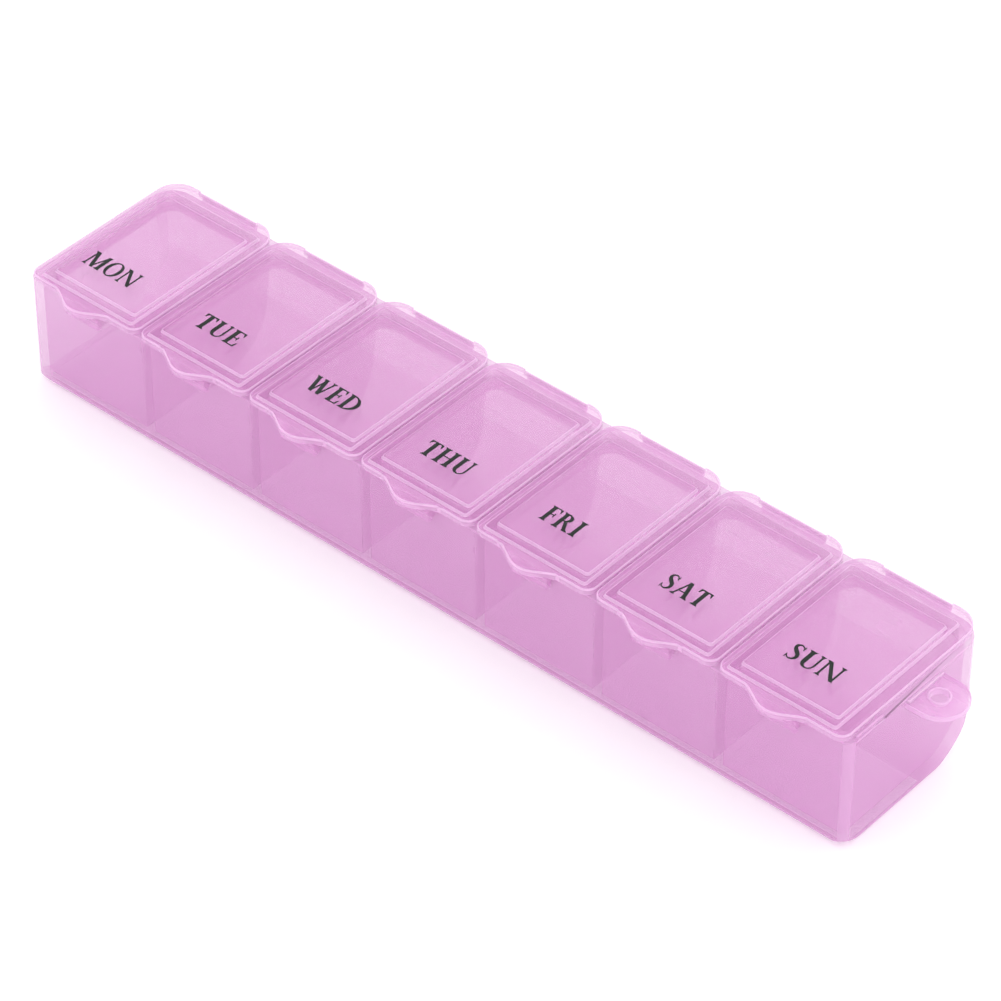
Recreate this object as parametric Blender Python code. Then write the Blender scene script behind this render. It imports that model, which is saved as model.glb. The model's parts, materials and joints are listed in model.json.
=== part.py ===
"""Seven-day travel pill organizer, moulded in translucent plastic.

One long case holds seven compartments side by side. Each compartment has its own snap lid, which
turns on a thin living hinge along the top of the rear wall. A hang lug stands out from one end.

Frame: metres, +Z up. X runs along the row of lids, with the hang lug at +X. The lids' thumb tabs
face -Y and the hinges are at +Y. The origin is the middle of the case's underside.
"""

import math

import bmesh
import bpy

MM = 0.001

# Case.
DAYS = ("mon", "tue", "wed", "thu", "fri", "sat", "sun")
PITCH = 21.4 * MM
CASE_LENGTH = 152.0 * MM
CASE_DEPTH = 29.8 * MM
RIM_HEIGHT = 19.4 * MM
WALL = 1.2 * MM
PARTITION = 1.1 * MM
REAR_DRAFT = 1.3 * MM
FRONT_BOTTOM_RADIUS = 1.7 * MM
REAR_BOTTOM_RADIUS = 11.0 * MM
END_BOTTOM_RADIUS = 0.8 * MM
FRONT_CORNER_RADIUS = 1.5 * MM
REAR_CORNER_RADIUS = 4.0 * MM
INNER_RADIUS = 0.8 * MM

# Hang lug on the +X end wall.
LUG_CENTRE_Y = 1.2 * MM
LUG_RADIUS = 4.2 * MM
LUG_REACH = 6.7 * MM
LUG_TOP = 18.7 * MM
LUG_THICKNESS = 0.8 * MM
LUG_HOLE_RADIUS = 1.3 * MM
LUG_ROOT_RISE = 0.4 * MM

# Guard: the front part of the lug end's rim stands higher, beside the lid.
GUARD_HEIGHT = 0.8 * MM
GUARD_THICKNESS = 0.4 * MM
GUARD_REAR = -7.7 * MM

# Snap ridges on the front wall, one behind each lid's flange.
RIDGE_WIDTH = 6.0 * MM
RIDGE_PROUD = 0.3 * MM
RIDGE_HEIGHT = 18.2 * MM

# Lid.
LID_WIDTH = 21.0 * MM
END_LID_EXTRA = 0.6 * MM
LID_FRONT = -15.5 * MM
LID_REAR = 15.4 * MM
LID_FRONT_RADIUS = 1.8 * MM
LID_REAR_RADIUS = 3.9 * MM
LID_BOTTOM = 19.7 * MM
PLATE_TOP = 20.7 * MM
BORDER_TOP = 21.1 * MM
PANEL_TOP = 21.5 * MM
STEP_SLOPE = 0.3 * MM
BORDER_WIDTH = 18.7 * MM
BORDER_FRONT = -14.9 * MM
BORDER_REAR = 12.6 * MM
PANEL_WIDTH = 16.2 * MM
PANEL_SHIFT = 0.3 * MM
PANEL_FRONT = -13.2 * MM
PANEL_REAR = 10.4 * MM
PANEL_THICKNESS = 1.1 * MM
SKIRT_CLEARANCE = 0.3 * MM
SKIRT_THICKNESS = 0.9 * MM
SKIRT_BOTTOM = 17.9 * MM

# Thumb tab and the snap flange under it.
TAB_REACH = 2.25 * MM
TAB_HALF_WIDTH = 5.4 * MM
TAB_SHIFT = -0.3 * MM
FLANGE_WIDTH = 6.6 * MM
FLANGE_SHIFT = 0.5 * MM
FLANGE_THICKNESS = 0.8 * MM
FLANGE_GAP = 0.65 * MM
FLANGE_BOTTOM = 17.6 * MM

# Living hinge: the bend line of the film between the rear wall and the lid.
HINGE_LENGTH = 11.0 * MM
HINGE_RADIUS = 0.2 * MM
HINGE_Y = 15.4 * MM
HINGE_Z = 19.3 * MM
HINGE_RELIEF = 0.4 * MM
HINGE_END_GAP = 0.4 * MM

ARC_STEPS = 5
OVERLAP = 0.4 * MM
REACH_PAST = 5.0 * MM

HALF_LENGTH = CASE_LENGTH / 2
HALF_DEPTH = CASE_DEPTH / 2


def clear_scene():
    for obj in list(bpy.data.objects):
        bpy.data.objects.remove(obj)


def plastic(name, colour, roughness):
    material = bpy.data.materials.new(name)
    material.use_nodes = True
    shader = material.node_tree.nodes["Principled BSDF"]
    shader.inputs["Base Color"].default_value = (*colour, 1.0)
    shader.inputs["Roughness"].default_value = roughness
    shader.inputs["Metallic"].default_value = 0.0
    shader.inputs["Transmission Weight"].default_value = 0.5
    return material


def arc(centre, radius, start, end, steps=ARC_STEPS):
    """Points along an arc, with both of its ends; the angles are in degrees."""
    points = []
    for step in range(steps + 1):
        angle = math.radians(start + (end - start) * step / steps)
        points.append((centre[0] + radius * math.cos(angle), centre[1] + radius * math.sin(angle)))
    return points


def rounded_box(left, right, low, high, radii):
    """Outline of a rectangle, anticlockwise from its low left corner, with one radius a corner."""
    corners = (
        (left, low, 1, 1, 180),
        (right, low, -1, 1, 270),
        (right, high, -1, -1, 0),
        (left, high, 1, -1, 90),
    )
    outline = []
    for (x, y, inward_x, inward_y, start), radius in zip(corners, radii):
        if radius:
            outline += arc((x + inward_x * radius, y + inward_y * radius), radius, start, start + 90)
        else:
            outline.append((x, y))
    return outline


def prism(name, outline, low, high, axis="Z", taper=0.0):
    """A closed prism. The outline lies in XY, YZ or XZ, and the prism runs from low to high along axis.

    taper pulls the far end's outline in, as a sloping step all round.
    """
    place = {
        "Z": lambda a, b, c: (a, b, c),
        "X": lambda a, b, c: (c, a, b),
        "Y": lambda a, b, c: (a, c, b),
    }[axis]
    mesh = bmesh.new()
    near = mesh.faces.new([mesh.verts.new(place(a, b, low)) for a, b in outline])
    extruded = bmesh.ops.extrude_face_region(mesh, geom=[near])["geom"]
    verts = [item for item in extruded if isinstance(item, bmesh.types.BMVert)]
    along = "XYZ".index(axis)
    for vert in verts:
        vert.co[along] = high
    if taper:
        far = [item for item in extruded if isinstance(item, bmesh.types.BMFace)][0]
        bmesh.ops.inset_region(mesh, faces=[far], thickness=taper, depth=0.0, use_even_offset=True)
        inner = set(far.verts)
        for vert in mesh.verts:
            if vert not in inner and vert.co[along] > high - taper / 2:
                vert.co[along] = high - taper
    bmesh.ops.recalc_face_normals(mesh, faces=mesh.faces[:])
    data = bpy.data.meshes.new(name)
    mesh.to_mesh(data)
    mesh.free()
    obj = bpy.data.objects.new(name, data)
    bpy.context.scene.collection.objects.link(obj)
    return obj


def combine(base, tool, operation):
    """Joins, cuts or intersects base with tool, and removes the tool."""
    boolean = base.modifiers.new(operation.title(), "BOOLEAN")
    boolean.operation = operation
    boolean.solver = "EXACT"
    boolean.object = tool
    depsgraph = bpy.context.evaluated_depsgraph_get()
    result = bpy.data.meshes.new_from_object(base.evaluated_get(depsgraph))
    base.modifiers.clear()
    base.data = result
    bpy.data.objects.remove(tool)
    return base


def tidy(obj):
    """Welds the slivers that booleans leave, and splits flat faces into triangles."""
    mesh = bmesh.new()
    mesh.from_mesh(obj.data)
    bmesh.ops.remove_doubles(mesh, verts=mesh.verts[:], dist=0.002 * MM)
    bmesh.ops.dissolve_degenerate(mesh, dist=0.002 * MM, edges=mesh.edges[:])
    bmesh.ops.triangulate(mesh, faces=mesh.faces[:])
    mesh.to_mesh(obj.data)
    mesh.free()
    return obj


def finish(obj, material):
    obj.data.materials.clear()
    obj.data.materials.append(material)
    obj.data.shade_smooth()
    obj.data.set_sharp_from_angle(angle=math.radians(25))
    return obj


def day_x(index):
    return (index - (len(DAYS) - 1) / 2) * PITCH


def case_profile(inset, floor, top):
    """Cross-section in YZ, moved in by inset: upright front, flat floor, big scoop, drafted rear."""
    front = -HALF_DEPTH + inset
    rear_top = HALF_DEPTH - inset
    rear_low = rear_top - REAR_DRAFT
    front_radius = max(FRONT_BOTTOM_RADIUS - inset, INNER_RADIUS)
    rear_radius = REAR_BOTTOM_RADIUS - inset
    outline = [(front, top)]
    outline += arc((front + front_radius, floor + front_radius), front_radius, 180, 270)
    outline += arc((rear_low - rear_radius, floor + rear_radius), rear_radius, 270, 360, 2 * ARC_STEPS)
    outline.append((rear_top, RIM_HEIGHT))
    if top > RIM_HEIGHT:
        outline.append((rear_top, top))
    return outline


def rounded_block(name, left, right, inset, floor, top, plan_radii, end_radii):
    """The case's cross-section between two ends, with its upright and its bottom end edges rounded."""
    block = prism(name, case_profile(inset, floor, top), left, right, axis="X")
    plan = rounded_box(left, right, -HALF_DEPTH + inset, HALF_DEPTH - inset, plan_radii)
    combine(block, prism("plan", plan, floor - REACH_PAST, top + REACH_PAST), "INTERSECT")
    side = rounded_box(left, right, floor, top + REACH_PAST, end_radii)
    combine(block, prism("side", side, -CASE_DEPTH, CASE_DEPTH, axis="Y"), "INTERSECT")
    return block


def compartment(index):
    """The space of one compartment, as a cutter that runs out of the case's open top."""
    first = index == 0
    last = index == len(DAYS) - 1
    left = -HALF_LENGTH + WALL if first else day_x(index) - PITCH / 2 + PARTITION / 2
    right = HALF_LENGTH - WALL if last else day_x(index) + PITCH / 2 - PARTITION / 2
    corner = REAR_CORNER_RADIUS - WALL
    plan_radii = (
        INNER_RADIUS,
        INNER_RADIUS,
        corner if last else INNER_RADIUS,
        corner if first else INNER_RADIUS,
    )
    end_radii = (INNER_RADIUS, INNER_RADIUS, 0, 0)
    return rounded_block("cutter", left, right, WALL, WALL, RIM_HEIGHT + REACH_PAST, plan_radii, end_radii)


def hang_lug():
    """A flat round-ended plate with a hole, which starts inside the end wall."""
    centre = (HALF_LENGTH + LUG_REACH - LUG_RADIUS, LUG_CENTRE_Y)
    outline = arc(centre, LUG_RADIUS, -90, 90, 4 * ARC_STEPS)
    root = HALF_LENGTH - WALL / 2
    outline += [(root, LUG_CENTRE_Y + LUG_RADIUS), (root, LUG_CENTRE_Y - LUG_RADIUS)]
    lug = prism("lug", outline, LUG_TOP - LUG_THICKNESS, LUG_TOP)
    hole = arc(centre, LUG_HOLE_RADIUS, 0, 360 - 360 / (4 * ARC_STEPS), 4 * ARC_STEPS - 1)
    combine(lug, prism("hole", hole, LUG_TOP - REACH_PAST, LUG_TOP + REACH_PAST), "DIFFERENCE")
    return lug


def lug_root():
    """A low rib where the lug meets the end wall."""
    outline = rounded_box(
        HALF_LENGTH - WALL / 2,
        HALF_LENGTH + LUG_ROOT_RISE,
        LUG_CENTRE_Y - LUG_RADIUS,
        LUG_CENTRE_Y + LUG_RADIUS,
        (0, 0, 0, 0),
    )
    return prism("root", outline, LUG_TOP - LUG_THICKNESS, LUG_TOP + LUG_ROOT_RISE, taper=LUG_ROOT_RISE / 2)


def guard():
    """The raised front part of the lug end's rim. It starts inside the wall."""
    low = RIM_HEIGHT - OVERLAP
    outline = rounded_box(
        HALF_LENGTH - GUARD_THICKNESS,
        HALF_LENGTH,
        -HALF_DEPTH + FRONT_CORNER_RADIUS,
        GUARD_REAR,
        (0, 0, 0, 0),
    )
    return prism("guard", outline, low, RIM_HEIGHT + GUARD_HEIGHT)


def snap_ridge(index):
    """A half-round ridge on the front wall, for one lid's flange to click over."""
    face = -HALF_DEPTH
    outline = arc((face, RIDGE_HEIGHT), RIDGE_PROUD, 90, 270)
    outline += [(face + WALL / 2, RIDGE_HEIGHT - RIDGE_PROUD), (face + WALL / 2, RIDGE_HEIGHT + RIDGE_PROUD)]
    middle = day_x(index) + FLANGE_SHIFT
    return prism("ridge", outline, middle - RIDGE_WIDTH / 2, middle + RIDGE_WIDTH / 2, axis="X")


def make_case(material):
    plan_radii = (FRONT_CORNER_RADIUS, FRONT_CORNER_RADIUS, REAR_CORNER_RADIUS, REAR_CORNER_RADIUS)
    end_radii = (END_BOTTOM_RADIUS, END_BOTTOM_RADIUS, 0, 0)
    case = rounded_block("case", -HALF_LENGTH, HALF_LENGTH, 0, 0, RIM_HEIGHT, plan_radii, end_radii)
    for index in range(len(DAYS)):
        combine(case, compartment(index), "DIFFERENCE")
        combine(case, snap_ridge(index), "UNION")
    combine(case, guard(), "UNION")
    combine(case, lug_root(), "UNION")
    combine(case, hang_lug(), "UNION")
    return finish(tidy(case), material)


def lid_outline(index):
    """The lid's plate seen from above: rounded corners, a wavy thumb tab and a hinge relief.

    The first and the last lid are a little wider, to cover the case's end walls.
    """
    left = -LID_WIDTH / 2 - (END_LID_EXTRA if index == 0 else 0)
    right = LID_WIDTH / 2 + (END_LID_EXTRA if index == len(DAYS) - 1 else 0)
    radii = (LID_FRONT_RADIUS, LID_FRONT_RADIUS, LID_REAR_RADIUS, LID_REAR_RADIUS)
    outline = rounded_box(left, right, LID_FRONT, LID_REAR, radii)
    corner_points = ARC_STEPS + 1
    tab = []
    tab_steps = 4 * ARC_STEPS
    for step in range(tab_steps + 1):
        across = -1 + 2 * step / tab_steps
        bulge = TAB_REACH * (0.5 + 0.5 * math.cos(math.pi * across)) ** 0.8
        tab.append((TAB_SHIFT + across * TAB_HALF_WIDTH, LID_FRONT - bulge))
    relief_half = HINGE_LENGTH / 2 + HINGE_END_GAP
    relief_y = HINGE_Y - HINGE_RELIEF
    relief = [
        (relief_half, LID_REAR),
        (relief_half, relief_y),
        (-relief_half, relief_y),
        (-relief_half, LID_REAR),
    ]
    front = outline[:corner_points] + tab + outline[corner_points : 2 * corner_points]
    return front + outline[2 * corner_points : 3 * corner_points] + relief + outline[3 * corner_points :]


def lid_skirt():
    """The plug under the lid, which fits down inside its compartment's walls."""
    half = (PITCH - PARTITION) / 2 - SKIRT_CLEARANCE
    front = -HALF_DEPTH + WALL + SKIRT_CLEARANCE
    rear = HALF_DEPTH - WALL - SKIRT_CLEARANCE - REAR_DRAFT * (RIM_HEIGHT - SKIRT_BOTTOM) / RIM_HEIGHT
    rear_radius = REAR_CORNER_RADIUS - WALL
    radii = (INNER_RADIUS, INNER_RADIUS, rear_radius, rear_radius)
    skirt = prism("skirt", rounded_box(-half, half, front, rear, radii), SKIRT_BOTTOM, LID_BOTTOM + OVERLAP)
    inner = SKIRT_THICKNESS
    hollow = rounded_box(-half + inner, half - inner, front + inner, rear - inner, radii)
    combine(skirt, prism("hollow", hollow, SKIRT_BOTTOM - REACH_PAST, LID_BOTTOM), "DIFFERENCE")
    return skirt


def make_lid(index, material):
    lid = prism("lid_" + DAYS[index], lid_outline(index), LID_BOTTOM, PLATE_TOP)
    small = INNER_RADIUS / 2
    half_border = BORDER_WIDTH / 2
    border = rounded_box(-half_border, half_border, BORDER_FRONT, BORDER_REAR, (small,) * 4)
    combine(lid, prism("border", border, LID_BOTTOM + OVERLAP, BORDER_TOP, taper=STEP_SLOPE), "UNION")
    half_panel = PANEL_WIDTH / 2 + STEP_SLOPE
    panel_sides = (PANEL_SHIFT - half_panel, PANEL_SHIFT + half_panel)
    panel = rounded_box(*panel_sides, PANEL_FRONT - STEP_SLOPE, PANEL_REAR + STEP_SLOPE, (small,) * 4)
    combine(lid, prism("panel", panel, LID_BOTTOM + OVERLAP, PANEL_TOP, taper=STEP_SLOPE), "UNION")
    combine(lid, lid_skirt(), "UNION")
    under = rounded_box(*panel_sides, PANEL_FRONT, PANEL_REAR, (small,) * 4)
    recess_top = PANEL_TOP - PANEL_THICKNESS
    combine(lid, prism("recess", under, SKIRT_BOTTOM - REACH_PAST, recess_top), "DIFFERENCE")
    flange_rear = -HALF_DEPTH - FLANGE_GAP
    flange_sides = (FLANGE_SHIFT - FLANGE_WIDTH / 2, FLANGE_SHIFT + FLANGE_WIDTH / 2)
    flange = rounded_box(*flange_sides, flange_rear - FLANGE_THICKNESS, flange_rear, (0,) * 4)
    combine(lid, prism("flange", flange, FLANGE_BOTTOM, LID_BOTTOM + OVERLAP), "UNION")
    tidy(lid)
    for vert in lid.data.vertices:
        vert.co.y -= HINGE_Y
        vert.co.z -= HINGE_Z
    lid.location = (day_x(index), HINGE_Y, HINGE_Z)
    return finish(lid, material)


def make_hinge(index, material):
    """The living hinge's bend line, as a slim round strip on the lid's axis."""
    sides = 2 * ARC_STEPS
    outline = arc((0, 0), HINGE_RADIUS, 0, 360 - 360 / sides, sides - 1)
    hinge = prism("living_hinge_" + DAYS[index], outline, -HINGE_LENGTH / 2, HINGE_LENGTH / 2, axis="X")
    hinge.location = (day_x(index), HINGE_Y, HINGE_Z)
    return finish(tidy(hinge), material)


clear_scene()
make_case(plastic("case_plastic", (0.78, 0.42, 0.69), 0.25))
for day in range(len(DAYS)):
    make_lid(day, plastic("lid_plastic_" + DAYS[day], (0.82, 0.48, 0.74), 0.25))
    make_hinge(day, plastic("hinge_plastic_" + DAYS[day], (0.84, 0.55, 0.78), 0.3))
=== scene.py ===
# %% [markdown]
# # A seven-day travel pill organizer in translucent plastic
# The real thing is one injection moulding: a long case with seven scooped compartments, and seven
# snap lids that hang on thin films along the rear wall. Everything is the same pink polypropylene, so
# what one sees is walls through walls, with bright lines where an edge bends the light. Here those
# lines are partly painted highlights, painted paler into the edges' colour. This notebook builds
# finer pieces over a frame of plain solids, piece by piece.
#
# The frame comes first. It gives the bodies that move and the joints.

# %% Load the frame
import json
import math

import bmesh
import bpy
from mathutils import Matrix, Vector


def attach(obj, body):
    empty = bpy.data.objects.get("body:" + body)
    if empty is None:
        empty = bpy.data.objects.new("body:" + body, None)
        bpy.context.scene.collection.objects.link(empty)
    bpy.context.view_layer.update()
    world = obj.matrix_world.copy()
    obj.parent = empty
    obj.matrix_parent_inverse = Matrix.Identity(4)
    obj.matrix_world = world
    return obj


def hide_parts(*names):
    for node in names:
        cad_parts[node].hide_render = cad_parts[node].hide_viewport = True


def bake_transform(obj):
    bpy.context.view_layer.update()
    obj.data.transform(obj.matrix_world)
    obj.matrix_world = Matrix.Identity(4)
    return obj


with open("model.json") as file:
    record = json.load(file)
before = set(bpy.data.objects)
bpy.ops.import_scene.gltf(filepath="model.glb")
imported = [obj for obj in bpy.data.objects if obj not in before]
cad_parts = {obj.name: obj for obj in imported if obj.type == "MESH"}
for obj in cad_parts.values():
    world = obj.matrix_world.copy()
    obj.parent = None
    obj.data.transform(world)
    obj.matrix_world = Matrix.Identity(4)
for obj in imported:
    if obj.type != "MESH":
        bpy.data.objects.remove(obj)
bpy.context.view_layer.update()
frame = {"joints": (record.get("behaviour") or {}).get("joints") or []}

MM = 0.001
TINY = 0.001 * MM
scene = bpy.context.scene
DAYS = ("mon", "tue", "wed", "thu", "fri", "sat", "sun")
hinge_axis = {joint["child"]: Vector(joint["pos_m"]) for joint in frame["joints"]}

# %% [markdown]
# ## Camera, floor and light
# A long lens far away keeps the lids' edges almost parallel, as in a studio shot. The camera is
# built from its place, an azimuth, an elevation and a slight roll, so each number has a meaning. The
# floor is a plain pale sheet, and the light is soft from all round, with two large panels that draw a
# thin bright line along the moulded edges. Those lines are also painted highlights, as paler colour
# on the edge faces of the plastic.

# %% Camera
AZIMUTH = math.radians(40.883)
ELEVATION = math.radians(40.723)
ROLL = math.radians(0.158)
EYE = Vector((0.3221, -0.3689, 0.4307))
LENS = 163.96

back = Vector((
    math.sin(AZIMUTH) * math.cos(ELEVATION),
    -math.cos(AZIMUTH) * math.cos(ELEVATION),
    math.sin(ELEVATION),
))
level = Vector((math.cos(AZIMUTH), math.sin(AZIMUTH), 0.0))
plumb = back.cross(level)
right = level * math.cos(ROLL) + plumb * math.sin(ROLL)
up = plumb * math.cos(ROLL) - level * math.sin(ROLL)

camera_data = bpy.data.cameras.new("studio_camera")
camera_data.sensor_width = 36.0
camera_data.lens = LENS
camera_data.clip_start = 0.01
camera = bpy.data.objects.new("studio_camera", camera_data)
scene.collection.objects.link(camera)
turn = Matrix((right, up, back)).transposed().to_4x4()
camera.matrix_world = Matrix.Translation(EYE) @ turn
scene.camera = camera
print("camera is %.0f mm from the origin" % (EYE.length / MM))

# %% Floor
FLOOR_SIZE = 3.0
floor_mesh = bmesh.new()
bmesh.ops.create_grid(floor_mesh, x_segments=1, y_segments=1, size=FLOOR_SIZE / 2)
floor_data = bpy.data.meshes.new("floor")
floor_mesh.to_mesh(floor_data)
floor_mesh.free()
floor = bpy.data.objects.new("floor", floor_data)
scene.collection.objects.link(floor)

paper = bpy.data.materials.new("pale_paper")
paper.use_nodes = True
paper_shader = paper.node_tree.nodes["Principled BSDF"]
paper_shader.inputs["Base Color"].default_value = (0.93, 0.93, 0.93, 1.0)
paper_shader.inputs["Roughness"].default_value = 0.9
paper_shader.inputs["Emission Color"].default_value = (1.0, 1.0, 1.0, 1.0)
paper_shader.inputs["Emission Strength"].default_value = 0.12
floor_data.materials.append(paper)
print("floor is %.1f m wide" % FLOOR_SIZE)

# %% Soft light
world = bpy.data.worlds.new("soft_room")
world.use_nodes = True
world.node_tree.nodes["Background"].inputs["Color"].default_value = (1.0, 1.0, 1.0, 1.0)
world.node_tree.nodes["Background"].inputs["Strength"].default_value = 1.15
scene.world = world


def light_panel(name, place, width, height, power):
    """A soft rectangular lamp that faces the origin."""
    data = bpy.data.lights.new(name, "AREA")
    data.shape = "RECTANGLE"
    data.size = width
    data.size_y = height
    data.energy = power
    lamp = bpy.data.objects.new(name, data)
    scene.collection.objects.link(lamp)
    lamp.location = place
    lamp.rotation_euler = (-Vector(place)).to_track_quat("-Z", "Y").to_euler()


light_panel("rear_panel", (-0.25, 0.75, 0.75), width=1.0, height=0.5, power=1.0)
light_panel("side_panel", (0.85, 0.05, 0.6), width=0.5, height=0.8, power=0.8)
scene.view_settings.view_transform = "Standard"
scene.cycles.max_bounces = 32
scene.cycles.transmission_bounces = 32
scene.cycles.transparent_max_bounces = 64
scene.cycles.glossy_bounces = 8
scene.cycles.diffuse_bounces = 6

# %% [markdown]
# ## Blocks with soft edges
# A moulding has no sharp edge: every corner has at least a tenth of a millimetre of radius, and that
# is what catches the light. Most features here start as a cube. Its upright edges are bevelled for
# the corner seen from above, then the loops at its top and bottom for the softened edge. Joining
# such blocks with exact booleans gives one closed skin, which matters in see-through plastic, where
# a hidden inner wall would show.

# %% Helpers for blocks
CORNER_STEPS = 8
EDGE_STEPS = 3
RIM_RADIUS = 0.15 * MM


def soften(mesh, edges, radius, steps=CORNER_STEPS):
    """Rounds the edges of a bmesh."""
    return bmesh.ops.bevel(
        mesh,
        geom=edges,
        offset=radius,
        offset_type="OFFSET",
        segments=steps,
        profile=0.5,
        affect="EDGES",
        clamp_overlap=False,
        material=-1,
    )


def edges_where(mesh, test):
    """The edges whose two ends both pass the test."""
    return [edge for edge in mesh.edges if test(edge.verts[0].co) and test(edge.verts[1].co)]


def near(value, target):
    return abs(value - target) < TINY


def block_mesh(x, y, z, corners=(0, 0, 0, 0), steps=CORNER_STEPS):
    """A cube stretched between pairs of limits. Corners are front left, front right, rear right and
    rear left.
    """
    mesh = bmesh.new()
    bmesh.ops.create_cube(mesh, size=1.0)
    size = (x[1] - x[0], y[1] - y[0], z[1] - z[0])
    middle = ((x[0] + x[1]) / 2, (y[0] + y[1]) / 2, (z[0] + z[1]) / 2)
    bmesh.ops.scale(mesh, vec=size, verts=mesh.verts[:])
    bmesh.ops.translate(mesh, vec=middle, verts=mesh.verts[:])
    places = ((x[0], y[0]), (x[1], y[0]), (x[1], y[1]), (x[0], y[1]))
    for (px, py), radius in zip(places, corners):
        if radius:
            upright_edge = edges_where(mesh, lambda co: near(co.x, px) and near(co.y, py))
            soften(mesh, upright_edge, radius, steps)
    return mesh


def soften_loop(mesh, height, radius, steps=EDGE_STEPS):
    """Rounds the whole loop of edges at one height."""
    soften(mesh, edges_where(mesh, lambda co: near(co.z, height)), radius, steps)


def as_object(name, mesh):
    data = bpy.data.meshes.new(name)
    mesh.to_mesh(data)
    mesh.free()
    obj = bpy.data.objects.new(name, data)
    scene.collection.objects.link(obj)
    return obj


def combine(base, tool, operation):
    """Joins, cuts or intersects base with tool, and removes the tool."""
    boolean = base.modifiers.new("combine", "BOOLEAN")
    boolean.operation = operation
    boolean.solver = "EXACT"
    boolean.object = tool
    result = bpy.data.meshes.new_from_object(base.evaluated_get(bpy.context.evaluated_depsgraph_get()))
    base.modifiers.clear()
    base.data = result
    bpy.data.objects.remove(tool)
    return base


def day_x(day):
    return hinge_axis["lid_" + day].x


print("helpers ready; lid pitch is %.1f mm" % ((day_x("tue") - day_x("mon")) / MM))

# %% [markdown]
# ## Pink translucent polypropylene
# Polypropylene is a little cloudy, so the back of a box is seen softly through its front. Clear glass
# would be too crisp here. Each surface lets a bit more than half of the light straight through, and
# is otherwise pink, with a little rough transmission. Faces marked with painted light are mixed
# toward a pale tint and let less through. These are painted highlights along the moulded edges, and
# painted light on faces in shaded slits and gaps. On all this come the marks of moulding: slow clouds
# where the pigment mixed unevenly, long flow lines that the melt left as it filled the mould, and a
# fine orange peel on the skin. All patterns read Object coordinates, in metres.

# %% Plastic material
CLOUD_SCALE = 60.0
FLOW_SCALE = 90.0
SMUDGE_SCALE = 140.0
PEEL_SCALE = 1800.0
PEEL_STRENGTH = 0.12
PEEL_DEPTH = 0.02 * MM
# Painted light: marked faces are mixed toward this pale tint and let less through, as painted highlights
# on edges and painted light in shaded gaps.
EDGE_COVER = 0.75
PAINTED_LIGHT_TINT = (0.88, 0.58, 0.85)
ROUGHNESS_SPREAD = 0.05


def link(tree, source, output, target, socket):
    tree.links.new(source.outputs[output], target.inputs[socket])


def add_noise(tree, coordinates, scale, stretch=(1.0, 1.0, 1.0), detail=3.0):
    """A noise texture in object space. Stretch squeezes the pattern along an axis."""
    mapping = tree.nodes.new("ShaderNodeMapping")
    mapping.inputs["Scale"].default_value = stretch
    link(tree, coordinates, "Object", mapping, "Vector")
    noise = tree.nodes.new("ShaderNodeTexNoise")
    noise.inputs["Scale"].default_value = scale
    noise.inputs["Detail"].default_value = detail
    link(tree, mapping, "Vector", noise, "Vector")
    return noise


def remap(tree, source, low, high):
    """Maps a noise value from its usual range to low..high."""
    node = tree.nodes.new("ShaderNodeMapRange")
    node.inputs["From Min"].default_value = 0.3
    node.inputs["From Max"].default_value = 0.7
    node.inputs["To Min"].default_value = low
    node.inputs["To Max"].default_value = high
    link(tree, source, "Fac", node, "Value")
    return node


def plastic(name, pale, deep, rough, clarity, cover, flow):
    """Cloudy moulded plastic between two tints. Cover is how much of a wall one can't see through,
    and clarity is how much of that cover passes light on.
    """
    material = bpy.data.materials.new(name)
    material.use_nodes = True
    tree = material.node_tree
    shader = tree.nodes["Principled BSDF"]
    shader.inputs["IOR"].default_value = 1.49
    shader.inputs["Transmission Weight"].default_value = clarity
    coordinates = tree.nodes.new("ShaderNodeTexCoord")
    clouds = add_noise(tree, coordinates, CLOUD_SCALE)
    lines = add_noise(tree, coordinates, FLOW_SCALE, flow)
    uneven = tree.nodes.new("ShaderNodeMath")
    uneven.operation = "ADD"
    link(tree, remap(tree, clouds, 0.0, 0.6), "Result", uneven, 0)
    link(tree, remap(tree, lines, 0.0, 0.4), "Result", uneven, 1)
    tint = tree.nodes.new("ShaderNodeMix")
    tint.data_type = "RGBA"
    tint.inputs["A"].default_value = (*pale, 1.0)
    tint.inputs["B"].default_value = (*deep, 1.0)
    link(tree, uneven, "Value", tint, "Factor")
    # Painted light: faces marked in the mesh are mixed toward a pale tint, as painted highlights on
    # edges and painted light over the shade in slits and gaps.
    painted_light = tree.nodes.new("ShaderNodeAttribute")
    painted_light.attribute_name = "painted_light"
    painted_tint = tree.nodes.new("ShaderNodeMix")
    painted_tint.data_type = "RGBA"
    painted_tint.inputs["B"].default_value = (*PAINTED_LIGHT_TINT, 1.0)
    link(tree, painted_light, "Fac", painted_tint, "Factor")
    link(tree, tint, "Result", painted_tint, "A")
    link(tree, painted_tint, "Result", shader, "Base Color")
    thick = tree.nodes.new("ShaderNodeAttribute")
    thick.attribute_name = "thick"
    opacity = tree.nodes.new("ShaderNodeMapRange")
    opacity.inputs["To Min"].default_value = cover
    opacity.inputs["To Max"].default_value = EDGE_COVER
    link(tree, thick, "Fac", opacity, "Value")
    link(tree, opacity, "Result", shader, "Alpha")
    smudges = add_noise(tree, coordinates, SMUDGE_SCALE)
    roughness = remap(tree, smudges, rough - ROUGHNESS_SPREAD, rough + ROUGHNESS_SPREAD)
    link(tree, roughness, "Result", shader, "Roughness")
    peel = add_noise(tree, coordinates, PEEL_SCALE, detail=1.0)
    bump = tree.nodes.new("ShaderNodeBump")
    bump.inputs["Strength"].default_value = PEEL_STRENGTH
    bump.inputs["Distance"].default_value = PEEL_DEPTH
    link(tree, peel, "Fac", bump, "Height")
    link(tree, bump, "Normal", shader, "Normal")
    return material


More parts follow.
